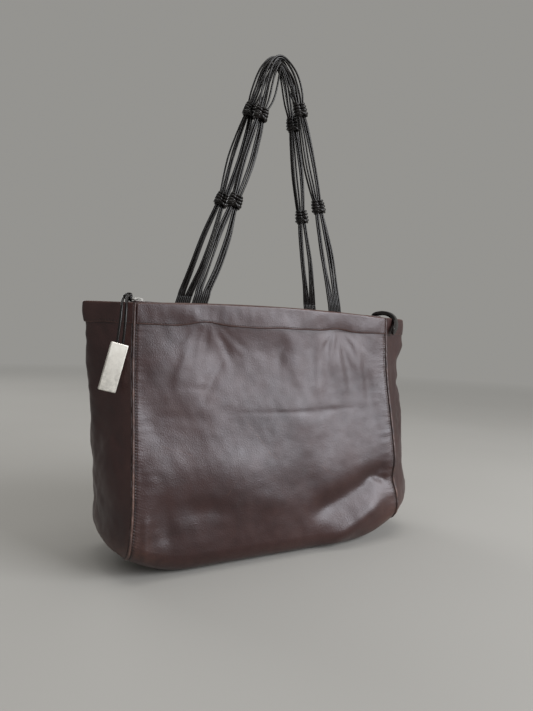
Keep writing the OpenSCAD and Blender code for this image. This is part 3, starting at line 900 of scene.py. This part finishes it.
for number, path in enumerate(thong_paths()):
    strand = cord_curve(f"thong_strand_{number + 1}", path, THONG_D, cord_leather)
    finish_piece(strand, "tag", ("pull_cord",))


def hitch_parts():
    """The loop of the thong that grips the ring, and the wrap behind it."""
    ring_low, ring_high = box_mm("pull_ring")
    grip = np.array([ring_low[0] + 0.6, 0, (ring_low[2] + ring_high[2]) / 2])
    start = np.array(THONG_ROUTE[0])
    way = unit(start - grip)
    across = unit(np.cross(way, [0, 0, 1]))
    up = np.cross(across, way)
    parts = []
    for side in (-1, 1):
        loop = []
        for b in np.linspace(0, 2 * np.pi, 26, endpoint=False):
            loop.append(grip + way * (2.6 * math.cos(b) + 1.2) + up * 2.3 * math.sin(b) + across * side * 1.5)
        parts.append(tube(loop, 1.25, 10, closed=True))
    for ahead, tall in ((3.6, 2.2), (5.6, 1.7)):
        wrap = [grip + way * ahead + across * 2.7 * math.cos(b) + up * tall * math.sin(b)
                for b in np.linspace(0, 2 * np.pi, 26, endpoint=False)]
        parts.append(tube(wrap, 1.15, 10, closed=True))
    return joined(parts)


points, faces = hitch_parts()
make_mesh("thong_hitch", points, faces, cord_leather, "ring", ())


# ---------------------------------------------------------------- shell
def sheet_marks(wear, crease_shade):
    """The same marks, wear and painted crease shade, for a sheet's outer and inner points."""
    return {"wear": clipped(np.stack([wear, wear])), "crease_shade": clipped(np.stack([crease_shade, crease_shade]))}


def long_panel(prefix, rear):
    across = spacing(-1, 1, 1.1 / HALF_W_BASE, 2.1 / HALF_W_BASE, 20 / HALF_W_BASE)
    down = np.concatenate([np.arange(0, V_FLOOR, 0.75), np.linspace(V_FLOOR, V_END, 22)])
    u, v = np.meshgrid(across, down, indexing="ij")
    flat = clipped((V_FLOOR - 6 - v) / 14)
    d = swell(u, v, rear) * flat * under_band(v)
    outer = warp(side_point(u, v, -d, rear=rear))
    inner = warp(side_point(u, v, LEATHER_T - d, rear=rear))
    edge = (1 - np.abs(u)) * half_width(outline(v)[1])
    p = side_point(u, v, 0, rear=rear)
    low_edge = hill(v - V_ARC - 18, 14)
    corner = hill(edge, 26) * hill(v - V_ARC - 6, 30)
    wear = 0.3 * np.exp(-edge / 2.0) * (0.6 + 0.4 * waves(p, 26, 71)) + 0.08 * low_edge + 0.22 * corner
    # painted shade: darker in the seam's groove, in the puckers between the stitches, in the deepest hollows and
    # just below the band's lower edge
    stitch_pucker_shade = (0.5 - 0.5 * np.cos(2 * np.pi * v / STITCH)) ** 2 * hill(edge - 2.6, 1.6)
    crease_shade = 0.7 * hill(edge - 1.3, 0.8) + 0.95 * stitch_pucker_shade * (0.7 + 0.3 * waves(p, 12, 72))
    crease_shade = crease_shade + np.clip(-d - 1.4, 0, 3) * 0.08
    top = v - V_BAND + band_rise(u, rear)
    crease_shade = crease_shade + 0.8 * np.exp(-np.maximum(0, top) / 1.4)
    marks = sheet_marks(wear, crease_shade)
    points, faces = skin(outer, inner, flip=rear)
    make_mesh(f"{prefix}_panel_soft", points, faces, leather, "bag", (f"{prefix}_panel",), marks)


def band_section(lower):
    """The band's section as (v, d): up the outside, over the top, down the inside and back."""
    up = [(lower, -0.25), (lower, -0.7), (lower - 0.25, -1.05)]
    up += [(v, -PROUD) for v in np.linspace(lower - 0.9, 0.9, 12)]
    over = [(0.1, -1.15), (-0.7, -0.85), (-1.3, -0.2), (-1.55, 0.7), (-1.4, 1.6), (-0.8, 2.4), (0.2, 2.8)]
    down = [(v, 2.8) for v in np.linspace(1.5, lower, 6)]
    back = [(lower, 2.1), (0.5, 2.1), (0.4, -0.1), (lower - 0.4, -0.1)]
    return np.array(up + over + down + back)


def shell_band(name, node, point, places, rise, seed, material, proud=PROUD, base=None):
    """A turned band: point(place, v, d) gives the shell there, and base the swell at its lower edge."""
    base = np.zeros(len(places)) if base is None else base
    rings, wear, crease_shade = [], [], []
    for place, lift, stand in zip(places, rise, base):
        section = band_section(V_BAND - lift)
        v, d = section[:, 0], section[:, 1]
        spot = point(np.full(len(v), place), v, d)
        bulge = np.sin(np.pi * clipped((v + 1) / (V_BAND + 1))) ** 0.6
        puff = np.maximum(band_swell(spot, seed), -0.5) * bulge + 0.35 * np.sin(np.pi * clipped(v / V_BAND))
        outside = d < 0
        d = np.where(outside, d * proud / PROUD, d)
        d = d - np.where(outside & (section[:, 1] < -0.9), puff, 0)
        d = d - stand * under_band(v)
        rings.append(point(np.full(len(v), place), v, d))
        on_top = hill(v + 1.2, 1.1)
        wear.append(0.42 * on_top * (d < 2) + 0.35 * hill(v - V_BAND + lift + 0.2, 0.8) * outside)
        # painted shade: a dark line along the outside of the band, just above its lower edge
        crease_shade.append(0.55 * hill(v - V_BAND + lift + 2.0, 0.5) * outside)
    points, faces = swept(warp(np.array(rings)), flip=True)
    marks = {"wear": clipped(wear), "crease_shade": clipped(crease_shade)}
    return make_mesh(name, points, faces, material, "bag", (node,), marks)


def seam_line(point, places, v, d, step=0.25):
    """Places, directions and outward normals of a line on the shell."""
    p = warp(point(places, v, d))
    out = unit(warp(point(places, v, d - step)) - p)
    return p, unit(np.gradient(p, axis=0)), out


def even(p, pitch):
    """Indices as floats, for points evenly spaced along a line."""
    run = np.concatenate([[0], np.cumsum(np.linalg.norm(np.diff(p, axis=0), axis=1))])
    return np.interp(np.arange(pitch / 2, run[-1], pitch), run, np.arange(len(p)))


def pick(a, index):
    base = np.arange(len(a))
    return np.stack([np.interp(index, base, a[:, i]) for i in range(a.shape[1])], -1)


def stitch_row(name, point, places, v, d, thread, sink=0.02):
    p, along, out = seam_line(point, places, v, d)
    index = even(p, STITCH)
    points, faces = stitches(pick(p, index), unit(pick(along, index)), unit(pick(out, index)), sink=sink)
    make_mesh(name, points, faces, thread, "bag")


def welt(prefix, side_name, rear, end):
    """The raised, rubbed edge beside a side seam."""
    v = np.concatenate([np.linspace(-1.4, V_FLOOR, 230), np.linspace(V_FLOOR, V_END, 24)[1:]])
    section = [(0.0, 1.6), (0.0, 0.2), (0.15, -0.55), (0.6, -1.02), (1.2, -1.2), (1.9, -1.2), (2.5, -1.0),
               (2.95, -0.5), (3.1, 0.3), (3.1, 1.6)]
    u = np.full(len(v), float(end))
    rough = 0.12 * waves(side_point(u, v, 0, rear=rear), 7, 90) + 0.10 * np.cos(2 * np.pi * v / STITCH)
    rings = np.stack([
        side_point(u, v, d - (rough if d < 0 else 0), beyond=beyond, rear=rear) for beyond, d in section], 1)
    p = rings[:, 4]
    ridge_share = np.array([0, 0.1, 0.45, 0.8, 1, 1, 0.8, 0.45, 0.1, 0])
    low = 0.45 + 0.55 * clipped(v / V_ARC)
    wear = ridge_share[None] ** 2 * (low * clipped(0.5 + 0.35 * waves(p, 16, 91)))[:, None]
    # painted shade: the welt's flanks are darkened like grooves, and its ridge is left clear
    marks = {"wear": clipped(wear), "crease_shade": np.tile((1 - ridge_share) ** 3 * 0.8, (len(v), 1))}
    points, faces = swept(warp(rings), flip=(end > 0) != rear)
    make_mesh(f"{prefix}_{side_name}_seam_edge", points, faces, edge_leather, "bag",
              (f"{prefix}_{side_name}_seam",), marks)


def gusset(side_name, end):
    s_places = np.concatenate([-spacing(0, 1, 0.018, 0.03, 0.4)[::-1], spacing(0, 1, 0.018, 0.03, 0.4)[1:]])
    v_places = np.arange(0, V_FLOOR, 1.5)
    v_places = np.append(v_places, V_FLOOR)
    s, v = np.meshgrid(s_places, v_places, indexing="ij")
    p = gusset_point(s, v, 0, end)
    seed = 120 if end > 0 else 140
    near = (1 - np.abs(s)) * outline(v)[0]
    free = (1 - hill(near, 10)) * clipped((V_FLOOR - v) / 40) * clipped((v - V_BAND) / 45)
    d = 1.1 * waves(p * np.array([0.5, 0.5, 1]), 62, seed) * free + 0.45 * waves(p, 28, seed + 1) * free
    d = d + 0.12 * waves(p, 11, seed + 2) + 0.16 * np.cos(2 * np.pi * v / STITCH) * np.exp(-near / 3)
    if end > 0:
        # the fold under the mouth's corner, and the slack below it
        z = p[..., 2]
        d = d + 1.4 * hill(z - 236, 7) * hill(s + 0.25, 0.3)
        d = d - 1.6 * hill(z - 216, 8) * hill(s + 0.2, 0.35)
        d = d + 1.2 * hill(z - 196, 7) * hill(s + 0.3, 0.3)
    outer = warp(gusset_point(s, v, -d, end))
    inner = warp(gusset_point(s, v, LEATHER_T - d, end))
    fold = hill(s, 0.05)
    corner = hill(v - V_FLOOR + 14, 20)
    wear = 0.3 * fold * np.clip(v / V_ARC, 0.2, 1) + 0.5 * corner + 0.25 * np.exp(-near / 2.0)
    # painted shade: darker in the seam's groove and just below the band's lower edge
    crease_shade = 0.8 * np.exp(-near / 0.9) + 0.7 * np.exp(-np.maximum(0, v - V_BAND) / 1.4)
    marks = sheet_marks(wear, crease_shade)
    points, faces = skin(outer, inner, flip=end < 0)
    make_mesh(f"{side_name}_gusset_soft", points, faces, gusset_leather, "bag",
              (f"{side_name}_gusset",), marks)


def lining():
    across = np.linspace(-1, 1, 60)
    down = np.concatenate([np.linspace(0, V_FLOOR, 60), np.linspace(V_FLOOR, V_END, 6)[1:]])
    u, v = np.meshgrid(across, down, indexing="ij")
    for prefix, rear in SIDES:
        d = 0.5 * waves(side_point(u, v, 0, rear=rear), 60, 201 + rear) * clipped((v - 30) / 40)
        outer, inner = (
            warp(side_point(u, v, LINING_INSET + e + np.abs(d) * 0.6, rear=rear)) for e in (0, LINING_T))
        points, faces = skin(outer, inner, flip=rear)
        make_mesh(f"{prefix}_lining_cloth", points, faces, lining_cloth, "bag",
                  (f"{prefix}_lining",))
    s, v = np.meshgrid(np.linspace(-1, 1, 50), np.linspace(0, V_FLOOR, 60), indexing="ij")
    for side_name, end in ENDS:
        outer, inner = (warp(gusset_point(s, v, LINING_INSET + e, end)) for e in (0, LINING_T))
        points, faces = skin(outer, inner, flip=end < 0)
        make_mesh(f"{side_name}_lining_cloth", points, faces, lining_cloth, "bag",
                  (f"{side_name}_lining",))


for prefix, rear in SIDES:
    long_panel(prefix, rear)

    def on_panel(u, v, d, rear=rear):
        return side_point(u, v, d, rear=rear)

    places = np.linspace(-1, 1, 200)
    rise = band_rise(places, rear)
    base = swell(places, np.full(len(places), V_BAND), rear)
    band = shell_band(f"{prefix}_band_turned", f"{prefix}_band", on_panel, places, rise,
                      210 + rear, leather, base=base)
    if rear:
        # the rear band is the front's mirror image, so its faces turn the other way
        band.data.flip_normals()
    inside = np.linspace(-0.985, 0.985, 400)
    stitch_row(f"{prefix}_band_stitches", on_panel, inside, V_BAND - np.interp(inside, places, rise) - 1.9,
               -PROUD - 0.05 - np.interp(inside, places, base) * 0.9, dark_thread)
    v = np.linspace(V_BAND + 1.5, V_FLOOR, 160)
    for side_name, end in ENDS:
        welt(prefix, side_name, rear, end)
        z = outline(v)[1]
        u = end * (1 - 1.4 / half_width(z))
        d = -swell(u, v, rear)
        thread = dark_thread if end < 0 else rose_thread
        stitch_row(f"{prefix}_{side_name}_seam_stitches", on_panel, u, v, d, thread, sink=0.0)

for side_name, end in ENDS:
    gusset(side_name, end)

    def on_gusset(s, v, d, end=end):
        return gusset_point(s, v, d, end)

    places = np.concatenate([-spacing(0, 1, 0.012, 0.03, 0.4)[::-1], spacing(0, 1, 0.012, 0.03, 0.4)[1:]])
    rise = 0.4 * np.sin(places * 9)
    band = shell_band(f"{side_name}_gusset_band_turned", f"{side_name}_gusset_band", on_gusset, places, rise,
                      230 + end, gusset_leather, proud=0.55)
    if end < 0:
        band.data.flip_normals()
    inside = np.linspace(-0.97, 0.97, 120)
    stitch_row(f"{side_name}_gusset_band_stitches", on_gusset, inside,
               V_BAND - np.interp(inside, places, rise) - 1.9, np.full(120, -0.6), dark_thread)
lining()


# ---------------------------------------------------------------- the handles' sewn-in ends
def handle_end_parts(route, rear):
    parts = []
    for e in (route[0], route[-1]):
        for k in np.arange(-3.5, 4):
            z = np.linspace(226, FOLD_Z - 0.3, 26)
            y = half_depth(z) - CORD_GAP - CORD_D / 2
            y = np.where(z > BODY_H, EXIT_Y, y)
            lean = 0.3 if e[0] < 0 else -0.17
            x = e[0] + k * CORD_PITCH - lean * np.clip(FOLD_Z - z, 0, 16)
            parts.append(tube(np.stack([x, y if rear else -y, z], -1), CORD_D / 2, 10))
    return joined(parts)


for prefix, route, rear in (("front", FRONT_ROUTE, False), ("rear", REAR_ROUTE, True)):
    points, faces = handle_end_parts(route, rear)
    make_mesh(f"{prefix}_handle_ends_round", points, faces, cord_leather, "bag",
              (f"{prefix}_handle_ends",))

# ---------------------------------------------------------------- zip
wing_low, wing_high = box_mm("front_zip_wing")
teeth_low, teeth_high = box_mm("front_zip_teeth")
tape_low, tape_high = box_mm("front_zip_tape")


def strip(x0, x1, section, sag=0.0, seed=0, step=2.5):
    """A strip along X with a closed section of (y, z) points."""
    section = np.array(section, float)
    x = np.arange(x0, x1 + 0.01, step)
    x[-1] = x1
    rings = np.zeros((len(x), len(section), 3))
    rings[..., 0] = x[:, None]
    rings[..., 1:] = section[None]
    if sag:
        rings[..., 2] += sag * waves(rings * np.array([1, 0.3, 0]), 45, seed)
    return swept(rings)


def to_side(points, faces, rear):
    """The front's shape, or its mirror image at the rear."""
    if not rear:
        return points, faces
    return points * np.array([1, -1, 1]), [tuple(f)[::-1] for f in faces]


def tooth_parts(x0, x1, offset):
    """Two-part metal teeth: a clamp on the tape's cord and a head that reaches to the middle."""
    parts = []
    pitch = 1.5
    z0, z1 = teeth_low[2], teeth_high[2]
    for x in np.arange(x0 + pitch * (0.5 + offset), x1 - 0.4, 2 * pitch):
        for (a, b, half, lift) in ((-3.3, -1.5, 0.55, 0.0), (-1.7, -0.05, 0.68, 0.15)):
            ring = np.array(rounded_rect(-half, half, z0 + lift, z1 - lift, 0.25, 2))
            rings = np.zeros((4, len(ring), 3))
            for i, (y, shrink) in enumerate(((a, 0.75), (a + 0.25, 1), (b - 0.25, 1), (b, 0.7))):
                middle = np.array([0, (z0 + z1) / 2])
                r = middle + (ring - middle) * shrink
                rings[i, :, 0] = x + r[:, 0]
                rings[i, :, 1] = y
                rings[i, :, 2] = r[:, 1]
            parts.append(swept(rings, flip=True))
    return parts


for prefix, rear in SIDES:
    body = f"{prefix}_zip_side"
    x0, x1 = wing_low[0], wing_high[0]
    y0, y1 = wing_low[1], wing_high[1]
    z0, z1 = wing_low[2], wing_high[2]
    section = rounded_rect(y0, y1, z0, z1, 0.7)
    points, faces = to_side(*strip(x0, x1, section, 0.14, 300 + rear), rear)
    edge = hill(np.abs(points[:, 1]) - abs(y1), 0.8)
    # painted shade: a dark line along the wing's stitches
    line = hill(np.abs(points[:, 1]) - abs(y1) - 2.2, 0.5)
    make_mesh(f"{prefix}_zip_wing_soft", points, faces, leather, body, (f"{prefix}_zip_wing",),
              {"wear": 0.3 * edge, "crease_shade": 0.3 * line})
    xs = np.arange(x0 + 3, x1 - 2, STITCH)
    place = np.stack([xs, np.full(len(xs), y1 - 2.2), np.full(len(xs), z1)], -1)
    place[:, 1] *= -1 if rear else 1
    along, out = np.tile([1.0, 0, 0], (len(xs), 1)), np.tile([0, 0, 1.0], (len(xs), 1))
    points, faces = stitches(place, along, out)
    make_mesh(f"{prefix}_zip_wing_stitches", points, faces, dark_thread, body)
    section = rounded_rect(tape_low[1], tape_high[1] + 0.2, tape_low[2], tape_high[2], 0.3, 3)
    points, faces = to_side(*strip(x0, x1, section), rear)
    make_mesh(f"{prefix}_zip_tape_woven", points, faces, tape_cloth, body, (f"{prefix}_zip_tape",))
    points, faces = to_side(*joined(tooth_parts(x0, x1, 1.0 if rear else 0.0)), rear)
    make_mesh(f"{prefix}_zip_teeth_cast", points, faces, nickel, body, (f"{prefix}_zip_teeth",))

for side_name, end in ENDS:
    low, high = box_mm(f"zip_{side_name}_end")
    leather_parts, tape_parts = [], []
    for rear in (False, True):
        section = rounded_rect(wing_low[1], wing_high[1], wing_low[2], wing_high[2], 0.7)
        leather_parts.append(to_side(*strip(low[0], high[0], section, step=2), rear))
        section = rounded_rect(tape_low[1], -0.7, tape_low[2], tape_high[2], 0.3, 3)
        tape_parts.append(to_side(*strip(low[0], high[0], section, step=2), rear))
    points, faces = joined(leather_parts)
    make_mesh(f"zip_{side_name}_end_leather", points, faces, leather, "bag", (f"zip_{side_name}_end",))
    points, faces = joined(tape_parts)
    make_mesh(f"zip_{side_name}_end_tape", points, faces, tape_cloth, "bag", ())

# ---------------------------------------------------------------- tail
TAIL_ROUTE = [
    (158, -2, 273.4), (163.5, -5, 276.5), (169.5, -9.5, 278), (175, -15, 276.8), (178.5, -20, 272.5),
    (179, -23.8, 266), (175.8, -27.4, 260), (171, -30.4, 255.4), (166.4, -32.6, 252)]


def tail_parts():
    line = smooth_path(TAIL_ROUTE, 6)
    tangent = unit(np.gradient(line, axis=0))
    normal = unit(np.cross(tangent, unit(np.array([0.84, 0.54, 0]))))
    across = unit(np.cross(normal, tangent))
    t = np.linspace(0, 1, len(line))
    run = t * length_of(line)
    total = run[-1]
    end_round = np.sqrt(clipped(1 - np.clip((run - (total - 6)) / 6, 0, 0.985) ** 2))
    start_round = 0.8 + 0.2 * clipped(run / 5)
    rings = []
    fat = 1.4 + 2.8 * np.sin(np.pi * clipped(t / 0.72)) ** 0.8
    for p, n, w, size, deep in zip(line, normal, across, end_round * start_round, fat):
        half = 5.6 * size
        edge = rounded_rect(-half, half, -deep, 1.4, min(1.2, half * 0.45), 4)
        rings.append([p + w * y + n * z for y, z in edge])
    return np.array(rings)


rings = tail_parts()
points, faces = swept(rings)
tail_edge = np.tile(np.array([0.35] * 8 + [0.1] * 8), len(rings))
make_mesh("zip_tail_tab", points, faces, knot_leather, "tail", ("zip_tail",),
          {"wear": tail_edge * 0.5})

# ---------------------------------------------------------------- CAD pieces that keep their shape
for node, material in (("slider_body", nickel), ("pull_ring", nickel), ("zip_stops", nickel)):
    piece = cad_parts[node]
    piece.data.materials.clear()
    piece.data.materials.append(material)


# ---------------------------------------------------------------- floor and light
SKY = (0.30, 0.295, 0.28)


def floor_material():
    """Pale and plain, and away from the bag it fades to the sky's own colour, so the horizon is faint."""
    material, tree, shader, coords = new_material("pale floor")
    tone = noise(tree, coords, 1.3, 3)
    tree.links.new(ramp(tree, tone, [(0.3, (0.40, 0.39, 0.37)), (0.7, (0.43, 0.42, 0.40))]),
              shader.inputs["Base Color"])
    shader.inputs["Roughness"].default_value = 0.85
    shader.inputs["Specular IOR Level"].default_value = 0.15
    reach = tree.nodes.new("ShaderNodeVectorMath")
    reach.operation = "LENGTH"
    tree.links.new(coords, reach.inputs[0])
    fade = ramp(tree, times(tree, reach.outputs["Value"], 0.2),
                grey((0.12, 0), (0.62, 1)))
    far = tree.nodes.new("ShaderNodeEmission")
    far.inputs["Color"].default_value = (*SKY, 1)
    both = tree.nodes.new("ShaderNodeMixShader")
    tree.links.new(fade, both.inputs[0])
    tree.links.new(shader.outputs[0], both.inputs[1])
    tree.links.new(far.outputs[0], both.inputs[2])
    tree.links.new(both.outputs[0], tree.nodes["Material Output"].inputs["Surface"])
    return material


def make_floor():
    data = bpy.data.meshes.new("floor")
    size = 60.0
    corners = [(-size, -size, 0), (size, -size, 0), (size, size, 0), (-size, size, 0)]
    data.from_pydata(corners, [], [(0, 1, 2, 3)])
    data.materials.append(floor_material())
    floor = bpy.data.objects.new("floor", data)
    bpy.context.scene.collection.objects.link(floor)
    floor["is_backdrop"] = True


def area_light(name, at, target, width, height, power, colour=(1, 1, 1)):
    data = bpy.data.lights.new(name, "AREA")
    data.shape = "RECTANGLE"
    data.size, data.size_y = width, height
    data.energy = power
    data.color = colour
    light = bpy.data.objects.new(name, data)
    light.location = at
    light.rotation_euler = (Vector(target) - Vector(at)).to_track_quat("-Z", "Y").to_euler()
    bpy.context.scene.collection.objects.link(light)


make_floor()
area_light("window", (1.25, -1.65, 1.0), (0, 0, 0.16), 1.4, 1.4, 54, (0.95, 0.97, 1.0))
area_light("overhead", (0.1, -0.2, 2.2), (0, 0, 0.1), 1.4, 1.4, 12, (1.0, 0.99, 0.97))
area_light("back", (-0.6, 1.9, 1.2), (0, 0, 0.2), 1.3, 1.3, 12)
world = bpy.data.worlds.new("world")
world.use_nodes = True
world.node_tree.nodes["Background"].inputs["Color"].default_value = (*SKY, 1)
world.node_tree.nodes["Background"].inputs["Strength"].default_value = 1.0
bpy.context.scene.world = world
bpy.context.scene.view_settings.view_transform = "Standard"

low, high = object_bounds()
